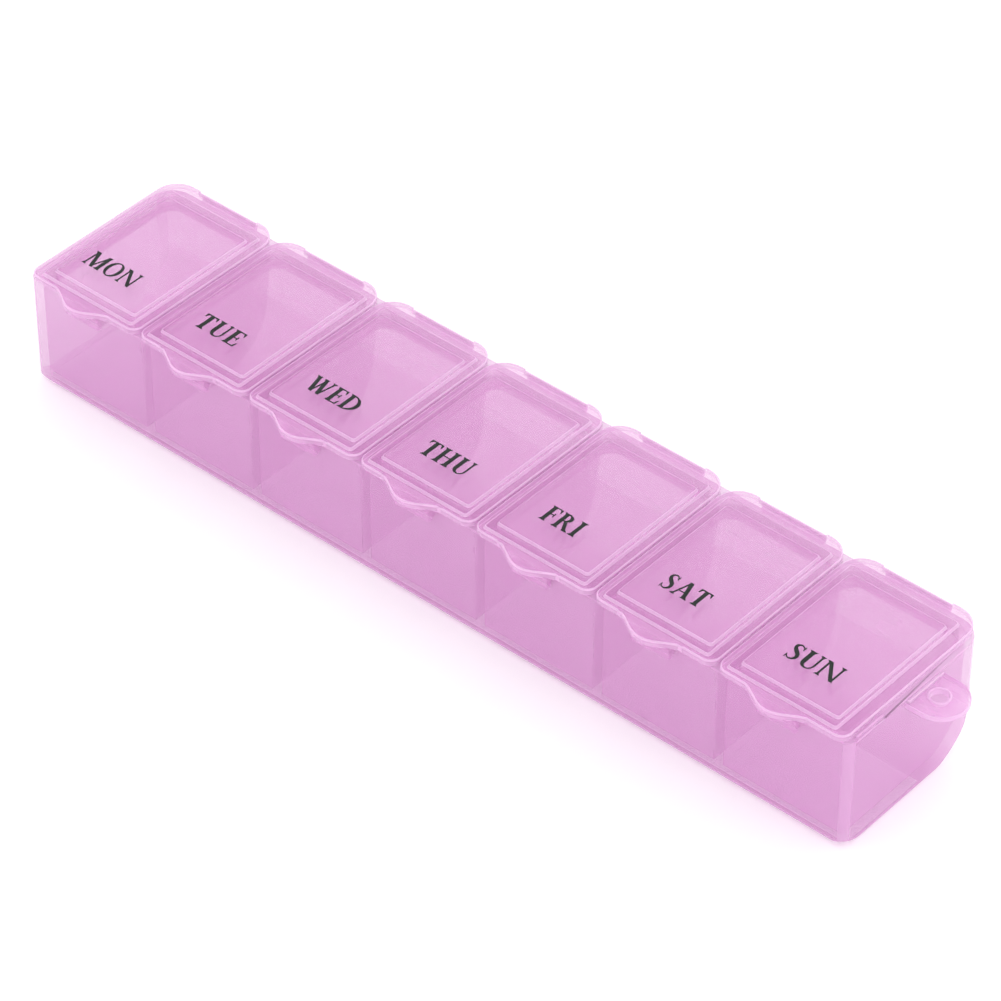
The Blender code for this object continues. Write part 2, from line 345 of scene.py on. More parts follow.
case_plastic = plastic(
    "case_polypropylene",
    pale=(0.80, 0.41, 0.74),
    deep=(0.76, 0.37, 0.70),
    rough=0.20,
    clarity=0.2,
    cover=0.42,
    flow=(1.0, 8.0, 8.0),
)
# Lids and case are one plastic. The lids' tints are a little deeper than the case's, as painted shade
# that offsets the stronger light falling on the lids' tops.
lid_plastic = plastic(
    "lid_polypropylene",
    pale=(0.76, 0.35, 0.69),
    deep=(0.72, 0.32, 0.65),
    rough=0.20,
    clarity=0.2,
    cover=0.42,
    flow=(8.0, 1.0, 8.0),
)
print("materials:", case_plastic.name, lid_plastic.name)

# %% [markdown]
# ## The case
# The real case has a flat upright front, a floor that sweeps up to the rear wall in one big scoop, and
# rounded ends. It is made as the meeting of three simple shapes: a bar with the scoop along it, a
# block with the corners seen from above, and a block with the end edges seen from the front. A
# fourth, which flares upward, only rounds the two lower front corners. The compartments are cut with
# the first three shapes, moved in by the wall's thickness, so the walls keep one thickness, as in a
# good moulding.

# %% The case's outer block
WALL = 1.2 * MM
PARTITION = 1.1 * MM
PITCH = 21.4 * MM
HALF_LENGTH = 76.0 * MM
HALF_DEPTH = 14.9 * MM
RIM_HEIGHT = 19.4 * MM
REAR_DRAFT = 1.3 * MM
FRONT_BOTTOM_RADIUS = 1.7 * MM
SCOOP_RADIUS = 11.0 * MM
END_BOTTOM_RADIUS = 0.8 * MM
FRONT_CORNER_RADIUS = 1.5 * MM
REAR_CORNER_RADIUS = 4.0 * MM
INNER_RADIUS = 0.8 * MM
SCOOP_STEPS = 24
FOOT_INSET = 0.45 * MM
FOOT_CORNER_RADIUS = 4.0 * MM
FOOT_FLARE = 0.8
FOOT_SINK = 0.01 * MM
# How far a cutting block reaches past what it cuts.
PAST = 5.0 * MM


def scooped_block(name, left, right, inset, top, plan_corners, end_radius):
    """The case's cross-section between two ends, moved in by inset."""
    front = -HALF_DEPTH + inset
    rear_top = HALF_DEPTH - inset
    rear_low = rear_top - REAR_DRAFT
    bar = block_mesh((left, right), (front, rear_low), (inset, RIM_HEIGHT))
    toe = edges_where(bar, lambda co: near(co.y, front) and near(co.z, inset))
    soften(bar, toe, max(FRONT_BOTTOM_RADIUS - inset, INNER_RADIUS))
    foot = edges_where(bar, lambda co: near(co.y, rear_low) and near(co.z, inset))
    soften(bar, foot, SCOOP_RADIUS - inset, SCOOP_STEPS)
    for vert in bar.verts:
        if near(vert.co.y, rear_low) and near(vert.co.z, RIM_HEIGHT):
            vert.co.y = rear_top
    if top > RIM_HEIGHT:
        mouth = [face for face in bar.faces if all(near(vert.co.z, RIM_HEIGHT) for vert in face.verts)]
        raised = bmesh.ops.extrude_face_region(bar, geom=mouth)["geom"]
        raised = [item for item in raised if isinstance(item, bmesh.types.BMVert)]
        bmesh.ops.translate(bar, vec=(0, 0, top - RIM_HEIGHT), verts=raised)
        bmesh.ops.delete(bar, geom=mouth, context="FACES_ONLY")
    block = as_object(name, bar)
    plan = block_mesh((left, right), (front, rear_top), (inset - PAST, top + PAST), plan_corners)
    combine(block, as_object("plan", plan), "INTERSECT")
    ends = block_mesh((left, right), (front - PAST, rear_top + PAST), (inset, top + PAST))
    for x in (left, right):
        soften(ends, edges_where(ends, lambda co: near(co.x, x) and near(co.z, inset)), end_radius)
    return combine(block, as_object("ends", ends), "INTERSECT")


case = scooped_block(
    "case_shell",
    -HALF_LENGTH,
    HALF_LENGTH,
    0.0,
    RIM_HEIGHT,
    (FRONT_CORNER_RADIUS, FRONT_CORNER_RADIUS, REAR_CORNER_RADIUS, REAR_CORNER_RADIUS),
    END_BOTTOM_RADIUS,
)

flared = block_mesh(
    (-HALF_LENGTH + FOOT_INSET, HALF_LENGTH - FOOT_INSET),
    (-HALF_DEPTH + FOOT_INSET, HALF_DEPTH + PAST),
    (0.0, RIM_HEIGHT + PAST),
    (FOOT_CORNER_RADIUS, FOOT_CORNER_RADIUS, 0, 0),
)
for vert in flared.verts:
    outward = FOOT_FLARE * vert.co.z
    vert.co.x += math.copysign(outward, vert.co.x)
    vert.co.y -= outward if vert.co.y < 0 else 0.0
bmesh.ops.translate(flared, vec=(0, 0, -FOOT_SINK), verts=flared.verts[:])
combine(case, as_object("flared", flared), "INTERSECT")
print("outer block:", len(case.data.polygons), "faces")

# %% Seven compartments
for day in DAYS:
    first = day == DAYS[0]
    last = day == DAYS[-1]
    left = -HALF_LENGTH + WALL if first else day_x(day) - PITCH / 2 + PARTITION / 2
    right_side = HALF_LENGTH - WALL if last else day_x(day) + PITCH / 2 - PARTITION / 2
    rear = REAR_CORNER_RADIUS - WALL
    rear_corners = (rear if last else INNER_RADIUS, rear if first else INNER_RADIUS)
    corners = (INNER_RADIUS, INNER_RADIUS) + rear_corners
    space = scooped_block("space", left, right_side, WALL, RIM_HEIGHT + PAST, corners, INNER_RADIUS)
    combine(case, space, "DIFFERENCE")
print("with compartments:", len(case.data.polygons), "faces")

# %% [markdown]
# ### Lug, guard and snap ridges
# A thin round-ended lug takes a cord or a split ring. It is a softened disc that is cut in half, and
# its cut side is drawn out to the wall. The raised bead around its hole stops the plastic from
# tearing. Each lid clicks over a small ridge on the front wall, and the rim stands a little higher at
# the lug end, to guard the last lid's side.

# %% Hang lug
LUG_Y = 1.2 * MM
LUG_RADIUS = 4.2 * MM
LUG_END = HALF_LENGTH + 6.7 * MM
LUG_TOP = 18.7 * MM
LUG_THICKNESS = 0.8 * MM
LUG_HOLE_RADIUS = 1.3 * MM
LUG_ROOT = 0.4 * MM
BEAD = 0.18 * MM
BEAD_RING_RADIUS = LUG_HOLE_RADIUS + 1.2 * BEAD
BEAD_STEPS = 12
LUG_X = LUG_END - LUG_RADIUS
ROUND_STEPS = 48

lug_mesh = bmesh.new()
bmesh.ops.create_cone(
    lug_mesh,
    cap_ends=True,
    segments=ROUND_STEPS,
    radius1=LUG_RADIUS,
    radius2=LUG_RADIUS,
    depth=LUG_THICKNESS,
    matrix=Matrix.Translation((LUG_X, LUG_Y, LUG_TOP - LUG_THICKNESS / 2)),
)
soften_loop(lug_mesh, LUG_TOP, RIM_RADIUS)
soften_loop(lug_mesh, LUG_TOP - LUG_THICKNESS, RIM_RADIUS)
whole = lug_mesh.verts[:] + lug_mesh.edges[:] + lug_mesh.faces[:]
bmesh.ops.bisect_plane(
    lug_mesh,
    geom=whole,
    dist=TINY,
    plane_co=(LUG_X, LUG_Y, LUG_TOP),
    plane_no=(1, 0, 0),
    clear_inner=True,
)
cut_edges = [edge for edge in lug_mesh.edges if edge.is_boundary]
grown = bmesh.ops.extrude_edge_only(lug_mesh, edges=cut_edges)["geom"]
grown_verts = [item for item in grown if isinstance(item, bmesh.types.BMVert)]
bmesh.ops.translate(lug_mesh, vec=(HALF_LENGTH - WALL / 2 - LUG_X, 0, 0), verts=grown_verts)
bmesh.ops.holes_fill(lug_mesh, edges=[edge for edge in lug_mesh.edges if edge.is_boundary], sides=0)
bmesh.ops.recalc_face_normals(lug_mesh, faces=lug_mesh.faces[:])
lug = as_object("lug", lug_mesh)


def disc(name, radius, low, high):
    """An upright round plug through the lug's centre."""
    mesh = bmesh.new()
    centre = Matrix.Translation((LUG_X, LUG_Y, (low + high) / 2))
    bmesh.ops.create_cone(
        mesh,
        cap_ends=True,
        segments=ROUND_STEPS,
        radius1=radius,
        radius2=radius,
        depth=high - low,
        matrix=centre,
    )
    return as_object(name, mesh)


def bead_ring(name, ring_radius, bead_radius, height):
    """A torus around the lug's hole, turned from a small circle."""
    mesh = bmesh.new()
    centre = Matrix.Translation((LUG_X + ring_radius, LUG_Y, height))
    place = centre @ Matrix.Rotation(math.pi / 2, 4, "X")
    bmesh.ops.create_circle(mesh, segments=BEAD_STEPS, radius=bead_radius, matrix=place)
    bmesh.ops.spin(
        mesh,
        geom=mesh.verts[:] + mesh.edges[:],
        cent=(LUG_X, LUG_Y, 0),
        axis=(0, 0, 1),
        angle=2 * math.pi,
        steps=ROUND_STEPS,
        use_merge=True,
    )
    bmesh.ops.remove_doubles(mesh, verts=mesh.verts[:], dist=TINY)
    bmesh.ops.recalc_face_normals(mesh, faces=mesh.faces[:])
    return as_object(name, mesh)


combine(lug, disc("hole", LUG_HOLE_RADIUS, LUG_TOP - PAST, LUG_TOP + PAST), "DIFFERENCE")
combine(lug, bead_ring("bead", BEAD_RING_RADIUS, BEAD, LUG_TOP), "UNION")
root_mesh = block_mesh(
    (HALF_LENGTH - WALL / 3, HALF_LENGTH + LUG_ROOT),
    (LUG_Y - LUG_RADIUS + LUG_ROOT, LUG_Y + LUG_RADIUS - LUG_ROOT),
    (LUG_TOP - LUG_THICKNESS / 2, LUG_TOP + LUG_ROOT),
)
soften_loop(root_mesh, LUG_TOP + LUG_ROOT, RIM_RADIUS)
combine(lug, as_object("root", root_mesh), "UNION")
combine(case, lug, "UNION")
print("case with lug:", len(case.data.polygons), "faces")

# %% Guard and snap ridges
GUARD_TOP = RIM_HEIGHT + 0.8 * MM
GUARD_THICKNESS = 0.4 * MM
GUARD_INSET = 0.03 * MM
GUARD_REAR = -7.7 * MM
RIDGE_HEIGHT = 18.2 * MM
RIDGE_PROUD = 0.3 * MM
RIDGE_WIDTH = 6.0 * MM
RIDGE_SHIFT = 0.5 * MM
RIDGE_STEPS = 16

guard_mesh = block_mesh(
    (HALF_LENGTH - GUARD_THICKNESS, HALF_LENGTH - GUARD_INSET),
    (-HALF_DEPTH + FRONT_CORNER_RADIUS, GUARD_REAR),
    (RIM_HEIGHT - WALL, GUARD_TOP),
)
soften_loop(guard_mesh, GUARD_TOP, RIM_RADIUS)
combine(case, as_object("guard", guard_mesh), "UNION")
for day in DAYS:
    middle = day_x(day) + RIDGE_SHIFT
    ridge_mesh = bmesh.new()
    centre = Matrix.Translation((middle, -HALF_DEPTH, RIDGE_HEIGHT))
    lying = centre @ Matrix.Rotation(math.pi / 2, 4, "Y")
    bmesh.ops.create_cone(
        ridge_mesh,
        cap_ends=True,
        segments=RIDGE_STEPS,
        radius1=RIDGE_PROUD,
        radius2=RIDGE_PROUD,
        depth=RIDGE_WIDTH,
        matrix=lying,
    )
    combine(case, as_object("ridge", ridge_mesh), "UNION")
print("case with ridges:", len(case.data.polygons), "faces")

# %% [markdown]
# ### Softening the rim
# The open rim is what a finger meets first, so its edges are rounded last, once every compartment is
# cut. The boolean result is first cleaned: points that lie on top of each other are merged, and flat
# neighbours join into one face. Then the sharp edges at the rim's height are picked out and bevelled.
# Each finished skin stores two marks on its faces for the plastic: how much painted light makes it
# paler, as painted highlights and painted light over shade, and how thick it looks.

# %% Clean and finish a skin
SMOOTH_ANGLE = math.radians(40)
FLAT_ANGLE = math.radians(0.5)
MERGE_DISTANCE = 0.004 * MM
FLAT_COSINE = math.cos(math.radians(8))
NARROW = 0.32 * MM
UPRIGHT_TILT = 0.1


def clean(mesh):
    """Merges the doubles that booleans leave, and joins flat neighbours."""
    bmesh.ops.remove_doubles(mesh, verts=mesh.verts[:], dist=MERGE_DISTANCE)
    bmesh.ops.dissolve_degenerate(mesh, dist=MERGE_DISTANCE, edges=mesh.edges[:])
    bmesh.ops.dissolve_limit(
        mesh,
        angle_limit=FLAT_ANGLE,
        use_dissolve_boundaries=False,
        verts=mesh.verts[:],
        edges=mesh.edges[:],
        delimit=set(),
    )


def open_edges(mesh):
    return sum(not edge.is_manifold for edge in mesh.edges)


def upright(face):
    return abs(face.normal.z) < UPRIGHT_TILT


def see_through(face, soft):
    """The usual cover: nothing more is hidden."""
    return 0.0


def mark_faces(data, pale, thick):
    """Stores how much painted light makes each face paler, and how little shows through it. Pale and
    thick both take a face and whether it is a narrow slanting one, as on a softened edge.
    """
    painted_light_marks = data.attributes.new("painted_light", "FLOAT", "FACE")
    thick_marks = data.attributes.new("thick", "FLOAT", "FACE")
    for face in data.polygons:
        corners = [data.vertices[index].co for index in face.vertices]
        sides = [(corners[i] - corners[i - 1]).length for i in range(len(corners))]
        slanted = max(abs(part) for part in face.normal) < FLAT_COSINE
        soft = slanted and min(sides) < NARROW and not upright(face)
        strength = pale(face, soft)
        painted_light_marks.data[face.index].value = strength
        thick_marks.data[face.index].value = max(strength if soft else 0.0, thick(face, soft))


def skin(obj, material, pale, thick=see_through):
    """Shades a finished piece: smooth over the fillets, crisp where two flats meet."""
    obj.data.materials.clear()
    obj.data.materials.append(material)
    obj.data.shade_smooth()
    obj.data.set_sharp_from_angle(angle=SMOOTH_ANGLE)
    weighted = obj.modifiers.new("weighted_normals", "WEIGHTED_NORMAL")
    weighted.keep_sharp = True
    mark_faces(obj.data, pale, thick)
    return obj


rim_mesh = bmesh.new()
rim_mesh.from_mesh(case.data)
clean(rim_mesh)
print("before the rim is softened:", len(rim_mesh.faces), "faces,", open_edges(rim_mesh), "open edges")

# %% Soften the rim and finish the case
OUTER_SKIN = 0.5 * MM
STEEP = math.radians(60)
# Strengths of painted light: painted highlights on the outer corners, the lug, its root and the rim's
# rounded edges, and painted light on the rim's flat top in the shaded slit under the lids.
CORNER_PALENESS = 0.4
LUG_PALENESS = 0.8
ROOT_PALENESS = 1.0
RIM_PALENESS = 0.9
FRONT_RIM_PALENESS = 0.5
REAR_RIM_PALENESS = 0.15
TOE_COVER = 0.8
UNDERSIDE_COVER = 0.5

rim_edges = [
    edge
    for edge in edges_where(rim_mesh, lambda co: near(co.z, RIM_HEIGHT))
    if edge.calc_face_angle(0.0) > STEEP
]
soften(rim_mesh, rim_edges, RIM_RADIUS, EDGE_STEPS)
print("rim edges:", len(rim_edges), "open edges after softening:", open_edges(rim_mesh))
print("case volume: %.2f cm3" % (rim_mesh.calc_volume() * 1e6))
rim_mesh.to_mesh(case.data)
rim_mesh.free()


def outer_corner(face):
    """Whether a face belongs to a rounded upright corner of the outer walls."""
    place = face.center
    turned = upright(face) and max(abs(face.normal.x), abs(face.normal.y)) < FLAT_COSINE
    return turned and max(abs(place.x) - HALF_LENGTH, abs(place.y) - HALF_DEPTH) > -OUTER_SKIN


def lug_edge(face, soft):
    return face.center.x > HALF_LENGTH + OUTER_SKIN and (soft or upright(face))


def case_painted_light(face, soft):
    """Painted highlights: the lug's root, the lug and the rim's rounded edges are painted palest, the
    outer corners less, and other faces not at all. The rim's flat top is painted pale as well, as
    painted light in the shaded slit under the lids' edges.
    """
    place = face.center
    on_root = HALF_LENGTH < place.x < HALF_LENGTH + LUG_ROOT + OUTER_SKIN / 2
    if on_root and place.z > LUG_TOP:
        return ROOT_PALENESS
    if face.normal.z > FLAT_COSINE and near(place.z, RIM_HEIGHT):
        return RIM_PALENESS
    if lug_edge(face, soft):
        return LUG_PALENESS
    if soft and place.z > RIM_HEIGHT - OUTER_SKIN:
        in_front = place.y < HALF_DEPTH - REAR_CORNER_RADIUS
        return FRONT_RIM_PALENESS if in_front else REAR_RIM_PALENESS
    return CORNER_PALENESS if outer_corner(face) else 0.0


def case_cover(face, soft):
    """Less shows through the lug's edges, the outer corners, and faces low down that face downward."""
    if lug_edge(face, soft):
        return LUG_PALENESS
    if outer_corner(face):
        return CORNER_PALENESS
    if face.center.z > SCOOP_RADIUS or face.normal.z > -UPRIGHT_TILT:
        return 0.0
    return TOE_COVER if face.center.z < FRONT_BOTTOM_RADIUS else UNDERSIDE_COVER


skin(case, case_plastic, case_painted_light, case_cover)
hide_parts("case")
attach(case, "case")

# %% [markdown]
# ## The lids
# A lid is a plate with two raised steps, a plug under it that fits its compartment, and a wavy thumb
# tab with a snap flange below. The tab's wave could be cut with a curve, but here the plate's front
# edge is divided and its points are pushed forward by a cosine, which keeps the wave smooth. The
# first and the last lid are a little wider, to cover the case's end walls.

# %% Lid sizes
LID_HALF = 10.5 * MM
END_LID_EXTRA = 0.6 * MM
LID_FRONT = -15.5 * MM
LID_REAR = 15.4 * MM
LID_FRONT_RADIUS = 1.8 * MM
LID_REAR_RADIUS = 3.9 * MM
LID_BOTTOM = 19.7 * MM
PLATE_TOP = 20.7 * MM
BORDER_TOP = 21.1 * MM
PANEL_TOP = 21.5 * MM
PANEL_THICKNESS = 1.1 * MM
STEP_SLOPE = 0.3 * MM
BORDER_HALF = 9.35 * MM
BORDER_Y = (-14.9 * MM, 12.6 * MM)
PANEL_HALF = 8.4 * MM
PANEL_SHIFT = 0.3 * MM
PANEL_Y = (-13.5 * MM, 10.7 * MM)
STEP_CORNER = 0.5 * MM
SKIRT_GAP = 0.3 * MM
SKIRT_THICKNESS = 0.9 * MM
SKIRT_BOTTOM = 17.9 * MM
TAB_REACH = 2.25 * MM
TAB_HALF = 5.4 * MM
TAB_SHIFT = -0.3 * MM
TAB_CUTS = 60
FLANGE_X = (-2.8 * MM, 3.8 * MM)
FLANGE_Y = (-16.35 * MM, -15.55 * MM)
FLANGE_BOTTOM = 17.6 * MM
FILM_HALF = 5.5 * MM
RELIEF_DEPTH = 0.4 * MM
RELIEF_GAP = 0.4 * MM
OVERLAP = 0.4 * MM
FLANGE_OVERLAP = 0.12 * MM
BASE_RADIUS = 0.08 * MM
PLATE_RADIUS = 0.22 * MM
FINE_RADIUS = 0.1 * MM
SKIRT_RADIUS = 0.25 * MM
FLANGE_RADIUS = 0.35 * MM
SKIRT_REAR_EXTRA = 0.2 * MM
HOLLOW_DEPTH = 0.05 * MM
BASE_ANGLE = math.radians(20)
EDGE_BAND = 1.5 * MM
TAB_FULLNESS = 0.8
# Strengths of painted light: painted highlights on the steps, the flange's foot and the skirt's edge,
# and painted light on the plate's upright sides in the shaded gaps between lids.
STEP_PALENESS = 1.0
SIDE_PALENESS = 0.8
FLANGE_PALENESS = 0.9
SKIRT_PALENESS = 0.2
print("a lid is %.1f mm wide" % (2 * LID_HALF / MM))

# %% One lid
def lid_plate(middle, left, right_side):
    """The lid's plate, with its thumb tab pushed out of the front edge."""
    corners = (LID_FRONT_RADIUS, LID_FRONT_RADIUS, LID_REAR_RADIUS, LID_REAR_RADIUS)
    mesh = block_mesh((left, right_side), (LID_FRONT, LID_REAR), (LID_BOTTOM, PLATE_TOP), corners)
    front_edges = [
        edge
        for edge in edges_where(mesh, lambda co: near(co.y, LID_FRONT))
        if near(edge.verts[0].co.z, edge.verts[1].co.z)
    ]
    bmesh.ops.subdivide_edges(mesh, edges=front_edges, cuts=TAB_CUTS, use_grid_fill=True)
    for vert in mesh.verts:
        across = (vert.co.x - middle - TAB_SHIFT) / TAB_HALF
        if near(vert.co.y, LID_FRONT) and abs(across) < 1:
            vert.co.y -= TAB_REACH * (0.5 + 0.5 * math.cos(math.pi * across)) ** TAB_FULLNESS
    soften_loop(mesh, PLATE_TOP, PLATE_RADIUS, 4)
    soften_loop(mesh, LID_BOTTOM, FINE_RADIUS, 2)
    return as_object("lid_shell", mesh)


def raised_step(name, x, y, top):
    """A low block with sloping sides and a softened top."""
    mesh = block_mesh(x, y, (LID_BOTTOM + OVERLAP, top), (STEP_CORNER,) * 4, 5)
    middle = Vector(((x[0] + x[1]) / 2, (y[0] + y[1]) / 2, 0))
    shrink = (1 - 2 * STEP_SLOPE / (x[1] - x[0]), 1 - 2 * STEP_SLOPE / (y[1] - y[0]), 1)
    top_verts = [vert for vert in mesh.verts if near(vert.co.z, top)]
    bmesh.ops.scale(mesh, vec=shrink, space=Matrix.Translation(-middle), verts=top_verts)
    soften_loop(mesh, top, FINE_RADIUS, 2)
    return as_object(name, mesh)


def plug(middle):
    """The tube under the lid, open below."""
    half = (PITCH - PARTITION) / 2 - SKIRT_GAP
    front = -HALF_DEPTH + WALL + SKIRT_GAP
    rear = HALF_DEPTH - WALL - SKIRT_GAP - SKIRT_REAR_EXTRA
    rear_radius = REAR_CORNER_RADIUS - WALL
    radii = (INNER_RADIUS, INNER_RADIUS, rear_radius, rear_radius)
    x = (middle - half, middle + half)
    mesh = block_mesh(x, (front, rear), (SKIRT_BOTTOM, LID_BOTTOM + OVERLAP), radii)
    soften_loop(mesh, SKIRT_BOTTOM, SKIRT_RADIUS)
    t = SKIRT_THICKNESS
    hollow_z = (SKIRT_BOTTOM - PAST, LID_BOTTOM + HOLLOW_DEPTH)
    hollow = block_mesh((x[0] + t, x[1] - t), (front + t, rear - t), hollow_z, radii)
    return combine(as_object("plug", mesh), as_object("hollow", hollow), "DIFFERENCE")


def make_lid(day):
    middle = day_x(day)
    left = middle - LID_HALF - (END_LID_EXTRA if day == DAYS[0] else 0)
    right_side = middle + LID_HALF + (END_LID_EXTRA if day == DAYS[-1] else 0)
    lid = lid_plate(middle, left, right_side)
    border_x = (middle - BORDER_HALF, middle + BORDER_HALF)
    combine(lid, raised_step("border", border_x, BORDER_Y, BORDER_TOP), "UNION")
    panel_x = (middle + PANEL_SHIFT - PANEL_HALF, middle + PANEL_SHIFT + PANEL_HALF)
    combine(lid, raised_step("panel", panel_x, PANEL_Y, PANEL_TOP), "UNION")
    combine(lid, plug(middle), "UNION")
    under_y = (PANEL_Y[0] + STEP_SLOPE, PANEL_Y[1] - STEP_SLOPE)
    under_z = (SKIRT_BOTTOM - PAST, PANEL_TOP - PANEL_THICKNESS)
    under = block_mesh(panel_x, under_y, under_z, (STEP_CORNER,) * 4, 5)
    combine(lid, as_object("under", under), "DIFFERENCE")
    flange_x = (middle + FLANGE_X[0], middle + FLANGE_X[1])
    flange = block_mesh(flange_x, FLANGE_Y, (FLANGE_BOTTOM, LID_BOTTOM + FLANGE_OVERLAP))
    soften_loop(flange, FLANGE_BOTTOM, FLANGE_RADIUS)
    combine(lid, as_object("flange", flange), "UNION")
    reach = FILM_HALF + RELIEF_GAP
    relief_y = (LID_REAR - RELIEF_DEPTH, LID_REAR + PAST)
    relief_z = (LID_BOTTOM - PAST, PLATE_TOP + PAST)
    relief = block_mesh((middle - reach, middle + reach), relief_y, relief_z)
    combine(lid, as_object("relief", relief), "DIFFERENCE")
    mesh = bmesh.new()
    mesh.from_mesh(lid.data)
    clean(mesh)
    for height in (PLATE_TOP, BORDER_TOP):
        inner_line = [
            edge
            for edge in edges_where(mesh, lambda co: near(co.z, height))
            if edge.calc_face_angle_signed(0.0) < -BASE_ANGLE
        ]
        soften(mesh, inner_line, BASE_RADIUS, 2)
    print(day, "lid:", len(mesh.faces), "faces,", open_edges(mesh), "open edges")
    mesh.to_mesh(lid.data)
    mesh.free()
    lid.name = "lid_shell_" + day
    lid.data.name = lid.name
    return lid


def lid_painted_light(face, soft):
    """Painted highlights: the steps, the plate's top edge and the flange's foot get a painted pale line,
    other edges less. The plate's upright sides are painted pale as well, as painted light in the
    shaded gaps between lids.
    """
    place = face.center
    if soft and place.z < LID_BOTTOM - OVERLAP:
        return FLANGE_PALENESS if place.y < LID_FRONT else SKIRT_PALENESS
    if soft:
        return STEP_PALENESS if place.z > PLATE_TOP - PLATE_RADIUS - FINE_RADIUS else SIDE_PALENESS
    across = abs(place.x - PITCH * round(place.x / PITCH))
    along = LID_FRONT + EDGE_BAND < place.y < LID_REAR - EDGE_BAND
    on_side = across > LID_HALF - EDGE_BAND or not along
    return SIDE_PALENESS if upright(face) and on_side and place.z > LID_BOTTOM else 0.0


for day in DAYS:
    lid = skin(make_lid(day), lid_plastic, lid_painted_light)
    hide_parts("lid_" + day)
    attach(lid, "lid_" + day)

# %% [markdown]
# ## The living hinges
# Each lid hangs on a film about 0.3 mm thick, moulded in one with the case and the lid. It bends
# round from the rear wall to the lid's edge. A rigid strip would tear at the joint, so the film is a
# thin sheet, spun from one line and given its thickness. Polypropylene turns pale where it is bent
# many times, so the film's material is cloudier than the rest, and passes less light towards the
# outside of the fold.

# %% Film material
FOLD_START = 15.0 * MM
FOLD_END = 15.8 * MM
FOLD_CLARITY = (0.65, 0.35)
film_plastic = plastic(
    "film_polypropylene",
    pale=(0.88, 0.58, 0.84),
    deep=(0.82, 0.48, 0.78),
    rough=0.35,
    clarity=0.3,
    cover=0.6,
    flow=(1.0, 14.0, 14.0),
)
film_tree = film_plastic.node_tree
film_place = film_tree.nodes.new("ShaderNodeTexCoord")
film_axes = film_tree.nodes.new("ShaderNodeSeparateXYZ")
link(film_tree, film_place, "Object", film_axes, "Vector")
fold = film_tree.nodes.new("ShaderNodeMapRange")
fold.inputs["From Min"].default_value = FOLD_START
fold.inputs["From Max"].default_value = FOLD_END
fold.inputs["To Min"].default_value = FOLD_CLARITY[0]
fold.inputs["To Max"].default_value = FOLD_CLARITY[1]
link(film_tree, film_axes, "Y", fold, "Value")
link(film_tree, fold, "Result", film_tree.nodes["Principled BSDF"], "Transmission Weight")
print("material:", film_plastic.name)

# %% Bent films
FILM_THICKNESS = 0.3 * MM
FILM_CENTRE = (0.0, 14.95 * MM, 19.4 * MM)
FILM_RADIUS = 0.75 * MM
FILM_TURN = math.radians(172)
FILM_STEPS = 14
FILM_CUTS = 10


def bent_film(day):
    middle = day_x(day)
    mesh = bmesh.new()
    start_y = FILM_CENTRE[1]
    start_z = FILM_CENTRE[2] - FILM_RADIUS
    ends = [mesh.verts.new((middle + side * FILM_HALF, start_y, start_z)) for side in (-1, 1)]
    line = mesh.edges.new(ends)
    bmesh.ops.subdivide_edges(mesh, edges=[line], cuts=FILM_CUTS)
    bmesh.ops.spin(
        mesh,
        geom=mesh.verts[:] + mesh.edges[:],
        cent=FILM_CENTRE,
        axis=(1, 0, 0),
        angle=FILM_TURN,
        steps=FILM_STEPS,
        use_merge=False,
    )
    bmesh.ops.recalc_face_normals(mesh, faces=mesh.faces[:])
    bmesh.ops.solidify(mesh, geom=mesh.faces[:], thickness=FILM_THICKNESS)
    bmesh.ops.recalc_face_normals(mesh, faces=mesh.faces[:])
    return as_object("film_" + day, mesh)


for day in DAYS:
    film = bent_film(day)
    film.data.materials.append(film_plastic)
    film.data.shade_smooth()
    film.data.set_sharp_from_angle(angle=SMOOTH_ANGLE)
    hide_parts("living_hinge_" + day)
    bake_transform(film)
print("film reaches y = %.2f mm" % (max(vert.co.y for vert in film.data.vertices) / MM))

# %% [markdown]
# ## Day names
# The day names are printed in one thin coat of dark ink, in a bold book face with flared serifs. No
# font file is used: each letter is a few strokes, drawn as flat outlines on a cap height of one, and
# joined into one closed solid. The strokes are bars, serifs, and bowls that are thick at their sides
# and thin above and below, as a broad pen makes them.

# %% Strokes of a letter
THICK = 0.19
THIN = 0.085
SERIF = 0.05
BRACKET = 0.07


def bar(low, high, width, bottom=0.0, top=1.0):
    """A stroke from x = low at the bottom to x = high at the top."""
    return [(low, bottom), (low + width, bottom), (high + width, top), (high, top)]


def foot(left, right_end):
    """A serif on the base line, with bracketed ends."""
    low = [(left, 0.0), (right_end, 0.0)]
    return low + [(right_end - BRACKET, SERIF * 2), (left + BRACKET, SERIF * 2)]


def cap(left, right_end):
    return [(x, 1.0 - y) for x, y in reversed(foot(left, right_end))]


def beam(left, right_end, bottom, top):
    return [(left, bottom), (right_end, bottom), (right_end, top), (left, top)]


def bowl(centre, outer, inner, start, end, shift=0.0, steps=20):
    """The part of a ring between two ellipses; the angles are in degrees."""
    angles = [math.radians(start + (end - start) * step / steps) for step in range(steps + 1)]
    around = [(centre[0] + outer[0] * math.cos(a), centre[1] + outer[1] * math.sin(a)) for a in angles]
    middle = centre[0] + shift
    inside = [(middle + inner[0] * math.cos(a), centre[1] + inner[1] * math.sin(a)) for a in angles]
    return around + inside[::-1]


def ribbon(points, widths):
    """A stroke of changing width along a bent line."""
    left, right_points = [], []
    for index, (x, y) in enumerate(points):
        before = points[max(index - 1, 0)]
        after = points[min(index + 1, len(points) - 1)]
        along = Vector((after[0] - before[0], after[1] - before[1])).normalized()
        half = widths[index] / 2
        left.append((x - along.y * half, y + along.x * half))
        right_points.append((x + along.y * half, y - along.x * half))
    return right_points + left[::-1]


